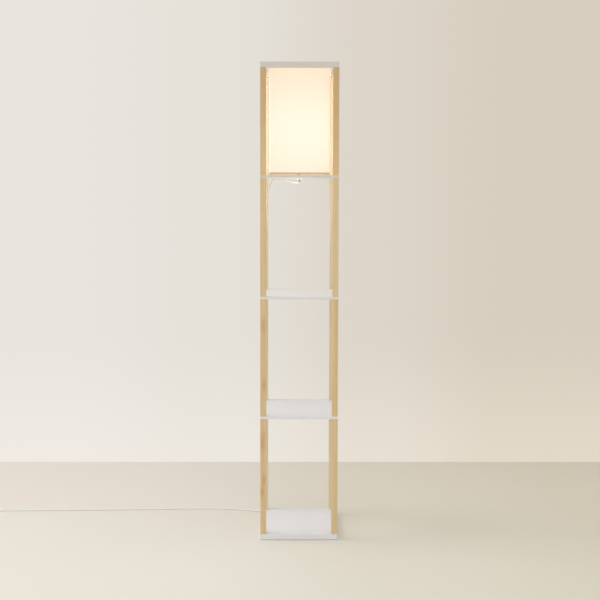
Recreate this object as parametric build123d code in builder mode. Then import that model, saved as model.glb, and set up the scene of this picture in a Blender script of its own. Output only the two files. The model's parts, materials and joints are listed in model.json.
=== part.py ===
from build123d import *
import math
import os

# Shelf floor lamp: four cut posts, three thin shelves between a thick base and an open top frame,
# and a square fabric shade in the top bay. Millimetres, +Z up, -Y to the front.
# Origin: on the floor, under the middle of the base.

# ---- driving dimensions: posts and boards
post_side = 20.0
post_edge = 1.0              # chamfer down the posts' long edges
board_edge = 0.8             # chamfer round the boards
pad_height = 1.0
pad_diameter = 22.0
pad_inset = 30.0             # pad's centre to the base's edge
base_thickness = 19.0
shelf_thickness = 9.0
top_thickness = 19.0
bay_height = 394.0           # clear height of each of the three open bays
shade_bay_height = 352.0

# ---- driving dimensions: joints between posts and boards
stud_diameter = 6.0
stud_in_wood = 25.0
stud_in_insert = 12.0
insert_length = 13.0
insert_flats = 8.0           # across the flats of the hexagonal body
thread_ease = 0.1            # radial, stud in insert and stud in its pilot hole
pocket_ease = 0.1            # radial, insert's corners in their pocket
pocket_spare = 1.0           # each blind hole is this much deeper than what it holds
board_hole_diameter = 6.6
bolt_recess_diameter = 15.0
bolt_recess_depth = 7.0
bolt_head_diameter = 12.0
bolt_head_height = 3.5
bolt_key_flats = 4.0
bolt_key_depth = 2.5

# ---- driving dimensions: shade
shade_width = 203.0          # over the fabric panel
shade_room = 8.5             # from the panel to the top frame's rails
shade_lift = 4.0             # lower hem above the lamp shelf
shade_into_frame = 7.0       # upper hem above the top frame's underside
shade_corner = 8.0           # radius of the panel's upright corners
panel_thickness = 0.8
hem_thickness = 0.4
hem_height = 6.0
shade_ease = 0.1             # between panel, wire and hem
wire_diameter = 3.0
arm_run = 9.0                # level stretch of an arm beside the wire square
arm_slope = 14.0             # plan length of its rise to the fitter ring
arm_bend = 6.0
fitter_diameter = 56.0
fitter_thickness = 1.6
fitter_ease = 0.6            # radial, fitter ring round the barrel

# ---- driving dimensions: lamp holder
housing_diameter = 44.0
shoulder_height = 27.0       # where the fitter ring rests, above the lamp shelf
barrel_diameter = 38.0
holder_height = 55.0
socket_floor_height = 30.0
well_diameter = 14.4
well_depth = 4.0
clamp_diameter = 52.0
clamp_height = 8.0
clamp_ease = 0.2             # radial, clamp ring round the barrel
nipple_diameter = 10.0
nipple_bore = 7.5
nipple_in_holder = 11.0
nipple_drop = 8.0            # below the lamp shelf
nipple_ease = 0.15           # radial, nipple in holder, shelf and nut
nut_flats = 20.0
nut_height = 4.0
nut_collar_diameter = 14.0
nut_collar_height = 1.5
socket_wall = 4.8
shell_wall = 0.5
shell_height = 23.0
shell_ease = 0.35            # radial, screw shell in the barrel and bulb cap in the shell

# ---- driving dimensions: pull chain
boss_face = 23.0             # flat front of the switch boss, from the holder's axis
boss_width = 14.0
boss_height = 14.0
chain_height = 18.0          # where the horn leaves the boss, above the lamp shelf
chain_reach = 30.0           # chain in front of the holder's axis
horn_chamfer = 1.4
horn_diameter = 6.8
horn_bore = 4.6
horn_flange_diameter = 11.0
horn_flange = 1.0
mouth_height = 3.5           # mouth above the lamp shelf
mouth_diameter = 10.4
mouth_bore = 8.6
mouth_flare = 3.0
mouth_taper = 30.0
bead_diameter = 3.2
bead_pitch = 4.0
bead_count = 6
bead_steps = 2               # bands above and below a bead's middle
bead_link = 1.0              # diameter of the links between the beads
top_bead_height = 13.0       # topmost bead above the lamp shelf
bell_diameter = 5.0
bell_neck = 2.4
bell_height = 13.0
bell_drop = 1.0              # bell's top below the shelf's underside
bell_skirt = 4.4             # diameter where the bell's mouth starts to flare
bell_skirt_height = 3.3
bell_shoulder = 3.4          # diameter where it draws in to the neck
bell_shoulder_drop = 1.6
bell_hollow = 3.6
bell_hollow_top = 2.4
bell_hollow_depth = 5.0
grommet_diameter = 10.0
grommet_bore = 6.4
grommet_flange_diameter = 14.0
grommet_flange = 1.0
grommet_ease = 0.1

# ---- driving dimensions: bulb
tip_rise = 1.5               # bulb's tip above the socket's floor
tip_height = 2.0
tip_diameter = 9.0
tip_root_diameter = 10.4
cap_cone = 3.6
cap_height = 22.6            # screw cap, cone included
globe_diameter = 60.0
body_height = 40.0
body_top_diameter = 57.0
body_steps = 4
globe_steps = 7
globe_crown_angle = 84.0     # the crown is flat above this
contact_gap = 0.2            # contact tongue below the bulb's tip
contact_diameter = 10.0
contact_plate = 0.8
tongue_diameter = 3.0

# ---- driving dimensions: lead, cord and plug
cord_diameter = 5.0
nipple_bend = 8.5            # the lead turns this tightly where it leaves the nipple
lead_gap = 0.4               # lead's surface to the post it runs down
lead_top_in_nipple = 7.0     # lead's end above the shelf's top, inside the nipple
clip_under_board = 55.0      # clips on the post: middle below the shelf above
top_clip_under_board = 135.0
foot_clip_over_base = 38.0
shelf_clip = (-78.0, 84.0)   # clip under the lamp shelf
clip_length = 5.0
clip_wall = 1.6
clip_ease = 0.25
clip_tab = 5.0
clip_tab_height = 1.6
nail_head_diameter = 3.6
nail_head_height = 0.8
nail_diameter = 1.6
nail_in_wood = 6.0
coil_pitch = 5.7
coil_outer_radius = 31.5
coil_half_turns = 2          # inward half turns below, and outward ones above
coil_layer_step = 5.7
tie_thickness = 0.6
tie_ease = 0.3
tie_width = 6.0
tie_corner = 0.5
coil_tail = 14.0             # straight end of the coil in front of the plug
floor_ease = 0.1             # cord and plug above the floor
plug_width = 24.0
plug_length = 26.0
plug_corner = 4.0
relief_length = 22.0
relief_wall = 1.6            # strain relief round the cord at its thin end
relief_root = 13.0           # diameter where it meets the plug
relief_grooves = 4
groove_width = 1.4
groove_depth = 0.8
plug_edge = 0.8
blade_gap = 12.7             # between the blades' centres
blade_width = 6.3
blade_thickness = 1.5
blade_length = 16.0
blade_hole = 3.0
blade_hole_place = 12.0      # from the blade's root

# ---- flat sides that stand for a full circle
pad_sides = 16
stud_sides = 8
small_sides = 12             # bolt heads, nipple, chain horn, plug
bead_sides = 6
clip_sides = 8
turned_sides = 32            # lamp holder and bulb
grip_sides = 14              # clamp ring
wire_sides = 6
cord_sides = 6
coil_sides = 8

# ---- levels and places that follow from them
plan = shade_width + 2 * (shade_room + post_side)    # side of every board, over the posts' outer faces
base_top = pad_height + base_thickness
bay_step = bay_height + shelf_thickness
lower_shelf_bottom = base_top + bay_height
middle_shelf_bottom = lower_shelf_bottom + bay_step
lamp_shelf_bottom = middle_shelf_bottom + bay_step
lamp_shelf_top = lamp_shelf_bottom + shelf_thickness
top_bottom = lamp_shelf_top + shade_bay_height
post_centre = (plan - post_side) / 2
board_back = plan / 2
cord_radius = cord_diameter / 2
clip_heights = (
    lamp_shelf_bottom - top_clip_under_board,
    middle_shelf_bottom - clip_under_board,
    lower_shelf_bottom - clip_under_board,
    base_top + foot_clip_over_base,
)
lead_foot = clip_heights[-1] - clip_length    # where the lead's fixed part ends
corners = [(x * post_centre, y * post_centre) for x in (-1, 1) for y in (-1, 1)]

# The lead's seats, each with its x along the surface, its y out of it and its z along the lead.
lead_x = -post_centre
clip_heading = math.atan2(shelf_clip[1], shelf_clip[0])
along_lead = (math.cos(clip_heading), math.sin(clip_heading))
post_seats = [Plane((lead_x, board_back, height), x_dir=(1, 0, 0), z_dir=(0, 0, 1)) for height in clip_heights]
shelf_seat = Plane(
    (*shelf_clip, lamp_shelf_bottom),
    x_dir=(-along_lead[1], along_lead[0], 0),
    z_dir=(-along_lead[0], -along_lead[1], 0),
)
lead_rise = lead_gap + cord_radius
groove_radius = cord_radius + clip_ease
nail_offset = groove_radius + clip_wall + clip_tab / 2


def nail_plane(seat, rise):
    """Faces out of the surface at the nail's axis, this high above it."""
    return Plane(origin=seat.from_local_coords((nail_offset, rise, 0)), z_dir=seat.y_dir)

os.makedirs("parts", exist_ok=True)


def shaft(diameter, sides, mode=Mode.ADD):
    """A turned outline: its flats lie just inside the true circle."""
    return RegularPolygon(diameter / 2, sides, mode=mode)


def bore(diameter, sides, mode=Mode.ADD):
    """A bored outline: its flats touch the true circle from outside."""
    return RegularPolygon(diameter / 2, sides, major_radius=False, mode=mode)


def save(builder, label):
    """Labels a finished piece and writes its file."""
    builder.part.label = label
    export_step(builder.part, f"parts/{label}.step")


# ================================================================ boards
def make_board(label, bottom, thickness, extra_holes=(), nails=()):
    """A square board with a stud hole over each post and any holes of its own, (x, y, diameter)."""
    with BuildPart() as board:
        with BuildSketch(Plane.XY.offset(bottom)):
            Rectangle(plan, plan)
        extrude(amount=thickness)
        chamfer(board.edges(), board_edge)
        with BuildSketch(Plane.XY.offset(bottom)):
            with Locations(*corners):
                bore(board_hole_diameter, stud_sides)
            for x, y, diameter in extra_holes:
                with Locations((x, y)):
                    bore(diameter, small_sides)
        extrude(amount=thickness, mode=Mode.SUBTRACT)
        for nail in nails:
            with BuildSketch(nail):
                bore(nail_diameter + 2 * thread_ease, wire_sides)
            extrude(amount=-nail_in_wood - pocket_spare, mode=Mode.SUBTRACT)
    save(board, label)


with BuildPart() as base_board:
    with BuildSketch(Plane.XY.offset(pad_height)):
        Rectangle(plan, plan)
    extrude(amount=base_thickness)
    chamfer(base_board.edges(), board_edge)
    with BuildSketch(Plane.XY.offset(pad_height)):
        with Locations(*corners):
            bore(bolt_recess_diameter, small_sides)
    extrude(amount=bolt_recess_depth, mode=Mode.SUBTRACT)
    with BuildSketch(Plane.XY.offset(pad_height)):
        with Locations(*corners):
            bore(board_hole_diameter, stud_sides)
    extrude(amount=base_thickness, mode=Mode.SUBTRACT)
save(base_board, "base_board")

make_board("lower_shelf", lower_shelf_bottom, shelf_thickness)
make_board("middle_shelf", middle_shelf_bottom, shelf_thickness)
make_board(
    "lamp_shelf",
    lamp_shelf_bottom,
    shelf_thickness,
    (
        (0, 0, nipple_diameter + 2 * nipple_ease),
        (0, -chain_reach, grommet_diameter + 2 * grommet_ease),
    ),
    (nail_plane(shelf_seat, 0),),
)

# An open frame as wide as the posts, so that the shade and the bulb are reached from above.
insert_pocket = insert_flats + 2 * pocket_ease
with BuildPart() as top_frame:
    with BuildSketch(Plane.XY.offset(top_bottom)):
        Rectangle(plan, plan)
        Rectangle(plan - 2 * post_side, plan - 2 * post_side, mode=Mode.SUBTRACT)
    extrude(amount=top_thickness)
    chamfer(top_frame.edges(), board_edge)
    with BuildSketch(Plane.XY.offset(top_bottom)):
        with Locations(*corners):
            bore(insert_pocket, 6)
    extrude(amount=insert_length + pocket_spare, mode=Mode.SUBTRACT)
save(top_frame, "top_frame")

with BuildPart() as foot_pads:
    with BuildSketch():
        with GridLocations(plan - 2 * pad_inset, plan - 2 * pad_inset, 2, 2):
            shaft(pad_diameter, pad_sides)
    extrude(amount=pad_height)
save(foot_pads, "foot_pads")


# ================================================================ posts
def make_post(label, x, y, bottom, length, nails=()):
    """One length of a corner post: insert pocket below, pilot hole for the stud above."""
    with BuildPart() as post:
        with BuildSketch(Plane((x, y, bottom))):
            Rectangle(post_side, post_side)
        extrude(amount=length)
        chamfer(post.edges().filter_by(Axis.Z), post_edge)
        with BuildSketch(Plane((x, y, bottom))):
            bore(insert_pocket, 6)
        extrude(amount=insert_length + pocket_spare, mode=Mode.SUBTRACT)
        with BuildSketch(Plane((x, y, bottom + length))):
            bore(stud_diameter + 2 * thread_ease, stud_sides)
        extrude(amount=-stud_in_wood - pocket_spare, mode=Mode.SUBTRACT)
        for nail in nails:
            with BuildSketch(nail):
                bore(nail_diameter + 2 * thread_ease, wire_sides)
            extrude(amount=-nail_in_wood - pocket_spare, mode=Mode.SUBTRACT)
    save(post, label)


post_lengths = (
    ("lower", base_top, bay_height),
    ("middle", lower_shelf_bottom + shelf_thickness, bay_height),
    ("upper", middle_shelf_bottom + shelf_thickness, bay_height),
    ("shade", lamp_shelf_top, shade_bay_height),
)
for depth_name, y_side in (("front", -1), ("rear", 1)):
    for side_name, x_side in (("left", -1), ("right", 1)):
        for bay_name, bottom, length in post_lengths:
            label = f"{depth_name}_{side_name}_post_{bay_name}"
            carries_lead = y_side > 0 > x_side
            seats = [seat for seat in post_seats if carries_lead and bottom < seat.origin.Z < bottom + length]
            nails = [nail_plane(seat, 0) for seat in seats]
            make_post(label, x_side * post_centre, y_side * post_centre, bottom, length, nails)


# ================================================================ studs, inserts and bolts
def make_studs(label, joint_bottom, through):
    """Four studs that rise from the posts' tops, through a board and into the inserts above it."""
    with BuildPart() as studs:
        with BuildSketch(Plane.XY.offset(joint_bottom - stud_in_wood)):
            with Locations(*corners):
                shaft(stud_diameter, stud_sides)
        extrude(amount=stud_in_wood + through + stud_in_insert)
    save(studs, label)


make_studs("lower_shelf_studs", lower_shelf_bottom, shelf_thickness)
make_studs("middle_shelf_studs", middle_shelf_bottom, shelf_thickness)
make_studs("lamp_shelf_studs", lamp_shelf_bottom, shelf_thickness)
make_studs("top_frame_studs", top_bottom, 0)


def make_inserts(label, bottoms):
    """Threaded inserts, flush with the faces that they are pressed into."""
    with BuildPart() as inserts:
        for bottom in bottoms:
            with BuildSketch(Plane.XY.offset(bottom)):
                with Locations(*corners):
                    bore(insert_flats, 6)
                with Locations(*corners):
                    bore(stud_diameter + 2 * thread_ease, stud_sides, Mode.SUBTRACT)
            extrude(amount=insert_length)
    save(inserts, label)


make_inserts("post_inserts", [bottom for _, bottom, _ in post_lengths])
make_inserts("top_frame_inserts", [top_bottom])

bolt_seat = pad_height + bolt_recess_depth
with BuildPart() as base_bolts:
    with BuildSketch(Plane.XY.offset(bolt_seat - bolt_head_height)):
        with Locations(*corners):
            shaft(bolt_head_diameter, small_sides)
    extrude(amount=bolt_head_height)
    with BuildSketch(Plane.XY.offset(bolt_seat)):
        with Locations(*corners):
            shaft(stud_diameter, stud_sides)
    extrude(amount=base_top + stud_in_insert - bolt_seat)
    with BuildSketch(Plane.XY.offset(bolt_seat - bolt_head_height)):
        with Locations(*corners):
            bore(bolt_key_flats, 6)
    extrude(amount=bolt_key_depth, mode=Mode.SUBTRACT)
save(base_bolts, "base_bolts")

# ================================================================ shade
shade_bottom = lamp_shelf_top + shade_lift
shade_top = top_bottom + shade_into_frame
panel_inset = hem_thickness + shade_ease          # panel's edge inside the hem's fold
wire_inset = panel_thickness + shade_ease + wire_diameter / 2
wire_half = shade_width / 2 - wire_inset
lower_wire = shade_bottom + panel_inset + wire_diameter / 2
upper_wire = shade_top - panel_inset - wire_diameter / 2
arm_angles = (0, 90, 180, 270)


def shade_outline(offset_in):
    """The shade's rounded square, moved in from the panel's outer face."""
    side = shade_width - 2 * offset_in
    return RectangleRounded(side, side, shade_corner - offset_in)


with BuildPart() as shade_panel:
    with BuildSketch(Plane.XY.offset(shade_bottom + panel_inset)):
        shade_outline(0)
        with BuildSketch(mode=Mode.SUBTRACT):
            shade_outline(panel_thickness)
    extrude(amount=shade_top - shade_bottom - 2 * panel_inset)
save(shade_panel, "shade_panel")


def make_hem(label, fold, direction, slit_angles=()):
    """A folded band that closes over the panel's edge and the wire; slits let the arms through."""
    outer_face = -(shade_ease + hem_thickness)
    inner_face = panel_thickness + shade_ease + wire_diameter + panel_inset
    with BuildPart() as hem:
        with BuildSketch(Plane.XY.offset(fold)):
            shade_outline(outer_face)
            with BuildSketch(mode=Mode.SUBTRACT):
                shade_outline(inner_face)
        extrude(amount=direction * hem_height)
        with BuildSketch(Plane.XY.offset(fold + direction * hem_thickness)):
            shade_outline(outer_face + hem_thickness)
            with BuildSketch(mode=Mode.SUBTRACT):
                shade_outline(inner_face - hem_thickness)
        extrude(amount=direction * hem_height, mode=Mode.SUBTRACT)
        for angle in slit_angles:
            with BuildSketch(Plane.XY.offset(fold + direction * hem_thickness).rotated((0, 0, angle))):
                with Locations((wire_half - wire_diameter / 2, 0)):
                    Rectangle(wire_diameter, wire_diameter + 2 * shade_ease)
            extrude(amount=direction * hem_height, mode=Mode.SUBTRACT)
    save(hem, label)


make_hem("shade_lower_hem", shade_bottom, 1, arm_angles)
make_hem("shade_upper_hem", shade_top, -1)


# The lower frame carries the shade: wire square, cranked arms that rise inwards, fitter ring at their heads.
wire_bend = shade_corner - wire_inset
fitter_bottom = lamp_shelf_top + shoulder_height + shade_ease
fitter_middle = fitter_bottom + fitter_thickness / 2
arm_head = fitter_diameter / 2 - wire_diameter / 2


def make_shade_frame(label, height, arm_angles):
    """A wire square inside the hem; with arms, it also has the fitter ring."""
    square_corners = [(wire_half * x, wire_half * y) for x, y in ((-1, -1), (1, -1), (1, 1), (-1, 1))]
    with BuildPart() as frame:
        with BuildLine(Plane.XY.offset(height)) as square:
            FilletPolyline(*square_corners, radius=wire_bend, close=True)
        with BuildSketch(Plane(origin=square.line @ 0, z_dir=square.line % 0)):
            shaft(wire_diameter, wire_sides)
        sweep(path=square.wires()[0])
        for angle in arm_angles:
            with BuildLine(Plane.XZ.rotated((0, 0, angle))) as arm:
                FilletPolyline(
                    (wire_half, height),
                    (wire_half - arm_run, height),
                    (wire_half - arm_run - arm_slope, fitter_middle),
                    (arm_head, fitter_middle),
                    radius=arm_bend,
                )
            with BuildSketch(Plane(origin=arm.line @ 0, z_dir=arm.line % 0)):
                shaft(wire_diameter, wire_sides)
            sweep(path=arm.wires()[0])
        if arm_angles:
            with BuildSketch(Plane.XY.offset(fitter_bottom)):
                shaft(fitter_diameter, turned_sides)
            extrude(amount=fitter_thickness)
            with BuildSketch(Plane.XY.offset(fitter_middle - wire_diameter)):
                bore(barrel_diameter + 2 * fitter_ease, turned_sides)
            extrude(amount=2 * wire_diameter, mode=Mode.SUBTRACT)
    save(frame, label)


make_shade_frame("shade_upper_frame", upper_wire, ())
make_shade_frame("shade_lower_frame", lower_wire, arm_angles)

# ================================================================ lamp holder
socket_floor = lamp_shelf_top + socket_floor_height
holder_top = lamp_shelf_top + holder_height
socket_bore = barrel_diameter - 2 * socket_wall
with BuildPart() as lamp_holder:
    with BuildSketch(Plane.XY.offset(lamp_shelf_top)):
        shaft(housing_diameter, turned_sides)
    extrude(amount=shoulder_height)
    with BuildSketch(Plane.XY.offset(lamp_shelf_top)):
        shaft(barrel_diameter, turned_sides)
    extrude(amount=holder_height)
    with BuildSketch(Plane.XZ.offset(boss_face)):
        with Locations((0, lamp_shelf_top + chain_height)):
            Rectangle(boss_width, boss_height)
    extrude(amount=-boss_face / 2)
    with BuildSketch(Plane.XY.offset(holder_top)):
        bore(socket_bore, turned_sides)
    extrude(amount=socket_floor - holder_top, mode=Mode.SUBTRACT)
    with BuildSketch(Plane.XY.offset(socket_floor)):
        bore(well_diameter, small_sides)
    extrude(amount=-well_depth, mode=Mode.SUBTRACT)
    with BuildSketch(Plane.XY.offset(lamp_shelf_top)):
        bore(nipple_diameter + 2 * nipple_ease, small_sides)
    extrude(amount=nipple_in_holder + pocket_spare, mode=Mode.SUBTRACT)
save(lamp_holder, "lamp_holder")

clamp_bottom = fitter_bottom + fitter_thickness + shade_ease
with BuildPart() as shade_clamp_ring:
    with BuildSketch(Plane.XY.offset(clamp_bottom)):
        shaft(clamp_diameter, grip_sides)
        bore(barrel_diameter + 2 * clamp_ease, turned_sides, Mode.SUBTRACT)
    extrude(amount=clamp_height)
save(shade_clamp_ring, "shade_clamp_ring")

shell_diameter = socket_bore - 2 * shell_ease
shell_bore = shell_diameter - 2 * shell_wall
with BuildPart() as screw_shell:
    with BuildSketch(Plane.XY.offset(socket_floor)):
        shaft(shell_diameter, turned_sides)
        bore(shell_bore, turned_sides, Mode.SUBTRACT)
    extrude(amount=shell_height)
save(screw_shell, "screw_shell")

contact_bottom = socket_floor - well_depth
tip_bottom = socket_floor + tip_rise
with BuildPart() as centre_contact:
    with BuildSketch(Plane.XY.offset(contact_bottom)):
        shaft(contact_diameter, small_sides)
    extrude(amount=contact_plate)
    with BuildSketch(Plane.XY.offset(contact_bottom)):
        shaft(tongue_diameter, small_sides)
    extrude(amount=tip_bottom - contact_gap - contact_bottom)
save(centre_contact, "centre_contact")

nipple_bottom = lamp_shelf_bottom - nipple_drop
with BuildPart() as holder_nipple:
    with BuildSketch(Plane.XY.offset(nipple_bottom)):
        shaft(nipple_diameter, small_sides)
        bore(nipple_bore, small_sides, Mode.SUBTRACT)
    extrude(amount=nipple_drop + shelf_thickness + nipple_in_holder)
save(holder_nipple, "holder_nipple")

with BuildPart() as nipple_nut:
    with BuildSketch(Plane.XY.offset(lamp_shelf_bottom)):
        bore(nut_flats, 6)
    extrude(amount=-nut_height)
    with BuildSketch(Plane.XY.offset(lamp_shelf_bottom)):
        shaft(nut_collar_diameter, 2 * small_sides)
    extrude(amount=-nut_height - nut_collar_height)
    with BuildSketch(Plane.XY.offset(lamp_shelf_bottom)):
        bore(nipple_diameter + 2 * nipple_ease, small_sides)
    extrude(amount=-nut_height - nut_collar_height, mode=Mode.SUBTRACT)
save(nipple_nut, "nipple_nut")

# ================================================================ pull chain
horn_axis = lamp_shelf_top + chain_height
mouth = lamp_shelf_top + mouth_height
horn_crown = horn_axis + horn_diameter / 2
chain_line = (0, -chain_reach)
with BuildPart() as chain_horn:
    with BuildSketch(Plane.XZ.offset(boss_face)):
        with Locations((0, horn_axis)):
            shaft(horn_flange_diameter, 2 * small_sides)
    extrude(amount=horn_flange)
    with BuildSketch(Plane.XZ.offset(boss_face)):
        with Locations((0, horn_axis)):
            shaft(horn_diameter, small_sides)
    extrude(amount=chain_reach - boss_face)
    with BuildSketch(Plane.XY.offset(mouth)):
        with Locations(chain_line):
            shaft(horn_diameter, small_sides)
    extrude(amount=horn_crown - mouth)
    chamfer(chain_horn.edges().group_by(Axis.Z)[-1], horn_chamfer)
    with BuildSketch(Plane.XY.offset(mouth)):
        with Locations(chain_line):
            shaft(mouth_diameter, small_sides)
    extrude(amount=mouth_flare, taper=mouth_taper)
    with BuildSketch(Plane.XZ.offset(boss_face)):
        with Locations((0, horn_axis)):
            shaft(horn_bore, small_sides)
    extrude(amount=chain_reach - boss_face, mode=Mode.SUBTRACT)
    with BuildSketch(Plane.XY.offset(mouth)):
        with Locations(chain_line):
            shaft(horn_bore, small_sides)
    extrude(amount=horn_axis + horn_bore / 2 - mouth, mode=Mode.SUBTRACT)
    with BuildSketch(Plane.XY.offset(mouth)):
        with Locations(chain_line):
            shaft(mouth_bore, small_sides)
    extrude(amount=mouth_flare, taper=mouth_taper, mode=Mode.SUBTRACT)
save(chain_horn, "chain_horn")


def narrowing(rings, sides, least=0.0):
    """Between (height, diameter) rings, the bands that narrow upwards: foot, diameter, rise and taper."""
    inside = math.cos(math.pi / sides)
    found = []
    for low, high in zip(rings, rings[1:]):
        rise = high[0] - low[0]
        narrower = low[1] - high[1]
        if narrower >= least:
            found.append((low[0], low[1], rise, math.degrees(math.atan(narrower / 2 * inside / rise))))
    return found


def make_turned(label, rings, sides, centre=(0, 0), hollow=()):
    """A turned piece through its (height, diameter) rings, from the lowest up; the hollow narrows upwards."""
    overturned = [(-height, diameter) for height, diameter in reversed(rings)]
    widening = narrowing(overturned, sides, least=0.001)
    with BuildPart() as piece:
        for foot, diameter, rise, taper in widening:
            with BuildSketch(Plane((*centre, foot))):
                shaft(diameter, sides)
            extrude(amount=rise, taper=taper)
        if widening:
            mirror(about=Plane.XY, mode=Mode.REPLACE)
        for stack, mode in ((rings, Mode.ADD), (hollow, Mode.SUBTRACT)):
            for foot, diameter, rise, taper in narrowing(stack, sides):
                with BuildSketch(Plane((*centre, foot))):
                    shaft(diameter, sides)
                extrude(amount=rise, taper=taper, mode=mode)
    save(piece, label)


# From the lowest bead up, each a ball cut off where the link leaves it.
bell_top = lamp_shelf_bottom - bell_drop
lowest_bead = lamp_shelf_top + top_bead_height - (bead_count - 1) * bead_pitch
bead_end = math.acos(bead_link / bead_diameter)
bead_angles = [bead_end * step / bead_steps for step in range(-bead_steps, bead_steps + 1)]
chain_rings = [(bell_top, bead_link)]
for number in range(bead_count):
    middle = lowest_bead + number * bead_pitch
    chain_rings += [(middle + bead_diameter / 2 * math.sin(a), bead_diameter * math.cos(a)) for a in bead_angles]
make_turned("bead_chain", chain_rings, bead_sides, chain_line)

bell_mouth = bell_top - bell_height
bell_rings = [
    (bell_mouth, bell_diameter),
    (bell_mouth + bell_skirt_height, bell_skirt),
    (bell_top - bell_shoulder_drop, bell_shoulder),
    (bell_top, bell_neck),
]
bell_hollow_rings = [(bell_mouth, bell_hollow), (bell_mouth + bell_hollow_depth, bell_hollow_top)]
make_turned("chain_bell", bell_rings, small_sides, chain_line, bell_hollow_rings)

with BuildPart() as chain_grommet:
    with BuildSketch(Plane((0, -chain_reach, lamp_shelf_bottom))):
        shaft(grommet_diameter, small_sides)
    extrude(amount=shelf_thickness)
    with BuildSketch(Plane((0, -chain_reach, lamp_shelf_top))):
        shaft(grommet_flange_diameter, 2 * small_sides)
    extrude(amount=grommet_flange)
    with BuildSketch(Plane((0, -chain_reach, lamp_shelf_bottom))):
        bore(grommet_bore, small_sides)
    extrude(amount=shelf_thickness + grommet_flange, mode=Mode.SUBTRACT)
save(chain_grommet, "chain_grommet")

# ================================================================ bulb
cap_bottom = tip_bottom + tip_height
cap_diameter = shell_bore - 2 * shell_ease
cap_top = cap_bottom + cap_height
body_top = cap_top + body_height
make_turned("bulb_tip", [(tip_bottom, tip_diameter), (cap_bottom, tip_root_diameter)], small_sides)
cap_rings = [(cap_bottom, tip_root_diameter), (cap_bottom + cap_cone, cap_diameter), (cap_top, cap_diameter)]
make_turned("bulb_cap", cap_rings, turned_sides)

# The body swells from the cap to the globe along a quarter wave.
body_rings = []
for step in range(body_steps + 1):
    share = step / body_steps
    swell = math.sin(share * math.pi / 2)
    body_rings.append((cap_top + share * body_height, cap_diameter + swell * (body_top_diameter - cap_diameter)))
make_turned("bulb_body", body_rings, turned_sides)

# The globe is a ball that stands on the body, flattened a little at its crown.
globe_foot = math.asin(math.sqrt(1 - (body_top_diameter / globe_diameter) ** 2))
globe_middle = body_top + globe_diameter / 2 * math.sin(globe_foot)
globe_rings = []
for step in range(globe_steps + 1):
    angle = -globe_foot + step / globe_steps * (math.radians(globe_crown_angle) + globe_foot)
    globe_rings.append((globe_middle + globe_diameter / 2 * math.sin(angle), globe_diameter * math.cos(angle)))
make_turned("bulb_globe", globe_rings, turned_sides)


# ================================================================ lead and cord
def bend_radii(points):
    """Each arc is as large as its two runs allow: 0.45 of the shorter over the tangent of half the turn."""
    places = [Vector(*point) for point in points]
    radii = []
    for before, at, after in zip(places, places[1:], places[2:]):
        turn = (at - before).get_angle(after - at)
        shorter = min((at - before).length, (after - at).length)
        radii.append(0.45 * shorter / math.tan(math.radians(turn / 2)))
    return radii


def make_tube(label, points, radii):
    """A round cord along straight runs and tangent arcs."""
    with BuildPart() as cord:
        with BuildLine() as route:
            FilletPolyline(*points, radius=radii)
        with BuildSketch(Plane(origin=route.line @ 0, z_dir=route.line % 0)) as section:
            shaft(cord_diameter, cord_sides)
        sweep(path=route.wires()[0])
    length = route.wires()[0].length
    share = cord.part.volume / (section.sketch.area * length)
    print(f"{label}: length {length:.1f}, volume over section times length {share:.5f}")
    print(f"{label}: radii", [round(radius, 1) for radius in radii])
    save(cord, label)


# The lead leaves the nipple, sags to a clip under the shelf, passes the rear left post's inner back
# edge and runs down the post's back.
lead_y = board_back + lead_rise
under_shelf = lamp_shelf_bottom - lead_rise
clip_step = (clip_length * along_lead[0], clip_length * along_lead[1])
lead_points = [
    (0, 0, lamp_shelf_top + lead_top_in_nipple),
    (0, 0, nipple_bottom - nipple_bend),
    (-25, 24, nipple_bottom - 4),
    (-48, 52, nipple_bottom + 2.5),
    (shelf_clip[0] - clip_step[0], shelf_clip[1] - clip_step[1], under_shelf),
    (shelf_clip[0] + clip_step[0], shelf_clip[1] + clip_step[1], under_shelf),
    (lead_x + 29, board_back - 26, under_shelf - 3),
    (lead_x + 20.5, board_back - 6, under_shelf - 9),
    (lead_x + 15, board_back + 10, under_shelf - 24),
    (lead_x + 8, board_back + 11, under_shelf - 44),
    (lead_x + 2, lead_y + 3.1, under_shelf - 66),
    (lead_x, lead_y + 0.4, under_shelf - 88),
    (lead_x, lead_y, under_shelf - 108),
    (lead_x, lead_y, lead_foot),
]
lead_radii = bend_radii(lead_points)
lead_radii[0] = nipple_bend
make_tube("lead", lead_points, lead_radii)

# The free cord drops to the floor and runs to the left, slightly bowed to the back.
floor_height = cord_radius + floor_ease
coil_x, coil_y = -1210.0, 153.0
first_layer = tie_thickness + tie_ease + cord_radius
cord_points = [
    (lead_x, lead_y, lead_foot),
    (lead_x, lead_y, 32),
    (lead_x - 9, lead_y + 5, 13),
    (lead_x - 25, lead_y + 13, floor_height),
    (lead_x - 62, lead_y + 27, floor_height),
    (-250, 170, floor_height),
    (-322, 174.5, floor_height),
    (-395, 174.8, floor_height),
    (-468, 172.2, floor_height),
    (-540, 168.4, floor_height),
    (-613, 165.9, floor_height),
    (-686, 164.6, floor_height),
    (-759, 162.4, floor_height),
    (-831, 159.3, floor_height),
    (-903, 157.2, floor_height),
    (-976, 156.4, floor_height),
    (-1048, 154.7, floor_height),
    (coil_x + 105, 153.4, floor_height + 0.3),
    (coil_x + 55, coil_y, first_layer),
    (coil_x + cord_diameter, coil_y, first_layer),
]
make_tube("floor_cord", cord_points, bend_radii(cord_points))

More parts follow.
